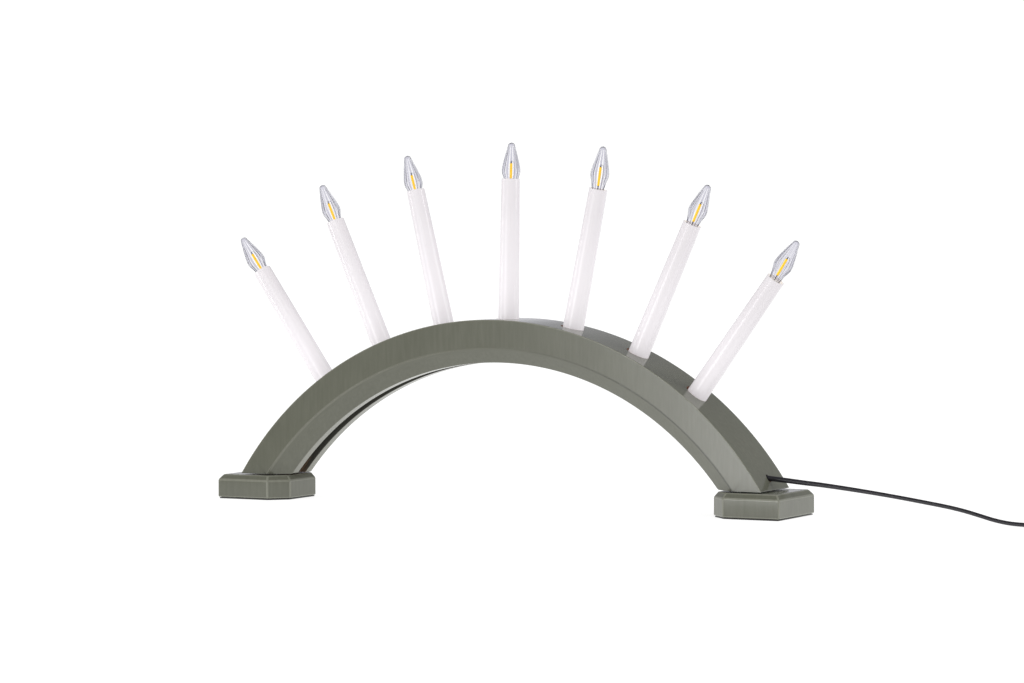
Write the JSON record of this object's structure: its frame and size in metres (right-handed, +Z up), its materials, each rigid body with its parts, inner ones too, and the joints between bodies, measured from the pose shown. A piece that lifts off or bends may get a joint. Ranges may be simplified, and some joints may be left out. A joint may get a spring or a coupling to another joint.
{
  "type": "electric candle arch",
  "caption": "Painted wooden bow on two feet with a row of white candle sleeves and clear fluted flame bulbs that unscrew; wired underneath, with a cord and plug.",
  "frame": {"origin": "on the table, midway between the two feet and in the middle of the bow's depth", "axes": "+X along the bow to the end where the cord leaves, +Y to the back, +Z up; the front faces -Y"},
  "size_m": [0.8521, 0.0868, 0.2944],
  "materials": {
    "painted_wood": "satin grey-green paint",
    "white_plastic": "smooth",
    "nickel": "nickel plated",
    "clear_glass": "clear, fluted",
    "yellow_coating": "matt coating",
    "black_cord": "smooth sheath",
    "black_plastic": "moulded",
    "dark_felt": "felt",
    "steel": "plain"
  },
  "bodies": {
    "arch_body": {"arch": "painted_wood", "left_foot": "painted_wood", "right_foot": "painted_wood", "left_pad": "dark_felt", "right_pad": "dark_felt", "left_foot_screw_front": "steel", "left_foot_screw_back": "steel", "right_foot_screw_front": "steel", "right_foot_screw_back": "steel", "candle_sleeve_1": "white_plastic", "candle_sleeve_2": "white_plastic", "candle_sleeve_3": "white_plastic", "candle_sleeve_4": "white_plastic", "candle_sleeve_5": "white_plastic", "candle_sleeve_6": "white_plastic", "candle_sleeve_7": "white_plastic", "lampholder_1": "white_plastic", "lampholder_2": "white_plastic", "lampholder_3": "white_plastic", "lampholder_4": "white_plastic", "lampholder_5": "white_plastic", "lampholder_6": "white_plastic", "lampholder_7": "white_plastic", "wiring_loom": "black_cord", "cord_free": "black_cord", "cord_coil": "black_cord", "cord_tie": "black_plastic", "plug_body": "black_plastic", "plug_pin_front": "steel", "plug_pin_back": "steel"},
    "contact_1": {"centre_contact_1": "nickel"},
    "bulb_1": {"bulb_cap_1": "nickel", "bulb_glass_1": "clear_glass", "bulb_filament_1": "yellow_coating"},
    "contact_2": {"centre_contact_2": "nickel"},
    "bulb_2": {"bulb_cap_2": "nickel", "bulb_glass_2": "clear_glass", "bulb_filament_2": "yellow_coating"},
    "contact_3": {"centre_contact_3": "nickel"},
    "bulb_3": {"bulb_cap_3": "nickel", "bulb_glass_3": "clear_glass", "bulb_filament_3": "yellow_coating"},
    "contact_4": {"centre_contact_4": "nickel"},
    "bulb_4": {"bulb_cap_4": "nickel", "bulb_glass_4": "clear_glass", "bulb_filament_4": "yellow_coating"},
    "contact_5": {"centre_contact_5": "nickel"},
    "bulb_5": {"bulb_cap_5": "nickel", "bulb_glass_5": "clear_glass", "bulb_filament_5": "yellow_coating"},
    "contact_6": {"centre_contact_6": "nickel"},
    "bulb_6": {"bulb_cap_6": "nickel", "bulb_glass_6": "clear_glass", "bulb_filament_6": "yellow_coating"},
    "contact_7": {"centre_contact_7": "nickel"},
    "bulb_7": {"bulb_cap_7": "nickel", "bulb_glass_7": "clear_glass", "bulb_filament_7": "yellow_coating"}
  },
  "joints": [
    {"name": "bulb_1_rise", "type": "slide", "parent": "arch_body", "child": "contact_1", "axis": [-0.5761, 0, 0.8174], "range_m": [0, 0.00182]},
    {"name": "bulb_1_turn", "type": "hinge", "parent": "contact_1", "child": "bulb_1", "pos_m": [-0.2258, 0, 0.18047], "axis": [-0.5761, 0, 0.8174], "range_deg": [0, 360]},
    {"name": "bulb_2_rise", "type": "slide", "parent": "arch_body", "child": "contact_2", "axis": [-0.3987, 0, 0.9171], "range_m": [0, 0.00182]},
    {"name": "bulb_2_turn", "type": "hinge", "parent": "contact_2", "child": "bulb_2", "pos_m": [-0.15612, 0, 0.22003], "axis": [-0.3987, 0, 0.9171], "range_deg": [0, 360]},
    {"name": "bulb_3_rise", "type": "slide", "parent": "arch_body", "child": "contact_3", "axis": [-0.2597, 0, 0.9657], "range_m": [0, 0.00182]},
    {"name": "bulb_3_turn", "type": "hinge", "parent": "contact_3", "child": "bulb_3", "pos_m": [-0.08102, 0, 0.24166], "axis": [-0.2597, 0, 0.9657], "range_deg": [0, 360]},
    {"name": "bulb_4_rise", "type": "slide", "parent": "arch_body", "child": "contact_4", "axis": [0.0279, 0, 0.9996], "range_m": [0, 0.00182]},
    {"name": "bulb_4_turn", "type": "hinge", "parent": "contact_4", "child": "bulb_4", "pos_m": [0.00335, 0, 0.25003], "axis": [0.0279, 0, 0.9996], "range_deg": [0, 360]},
    {"name": "bulb_5_rise", "type": "slide", "parent": "arch_body", "child": "contact_5", "axis": [0.1479, 0, 0.989], "range_m": [0, 0.00182]},
    {"name": "bulb_5_turn", "type": "hinge", "parent": "contact_5", "child": "bulb_5", "pos_m": [0.08073, 0, 0.24664], "axis": [0.1479, 0, 0.989], "range_deg": [0, 360]},
    {"name": "bulb_6_rise", "type": "slide", "parent": "arch_body", "child": "contact_6", "axis": [0.4195, 0, 0.9078], "range_m": [0, 0.00182]},
    {"name": "bulb_6_turn", "type": "hinge", "parent": "contact_6", "child": "bulb_6", "pos_m": [0.1609, 0, 0.21917], "axis": [0.4195, 0, 0.9078], "range_deg": [0, 360]},
    {"name": "bulb_7_rise", "type": "slide", "parent": "arch_body", "child": "contact_7", "axis": [0.5424, 0, 0.8401], "range_m": [0, 0.00182]},
    {"name": "bulb_7_turn", "type": "hinge", "parent": "contact_7", "child": "bulb_7", "pos_m": [0.23148, 0, 0.17831], "axis": [0.5424, 0, 0.8401], "range_deg": [0, 360]}
  ],
  "couplings": [
    {"joint": "bulb_1_rise", "follows": "bulb_1_turn", "m_per_rad": 0.00028871},
    {"joint": "bulb_2_rise", "follows": "bulb_2_turn", "m_per_rad": 0.00028871},
    {"joint": "bulb_3_rise", "follows": "bulb_3_turn", "m_per_rad": 0.00028871},
    {"joint": "bulb_4_rise", "follows": "bulb_4_turn", "m_per_rad": 0.00028871},
    {"joint": "bulb_5_rise", "follows": "bulb_5_turn", "m_per_rad": 0.00028871},
    {"joint": "bulb_6_rise", "follows": "bulb_6_turn", "m_per_rad": 0.00028871},
    {"joint": "bulb_7_rise", "follows": "bulb_7_turn", "m_per_rad": 0.00028871}
  ]
}
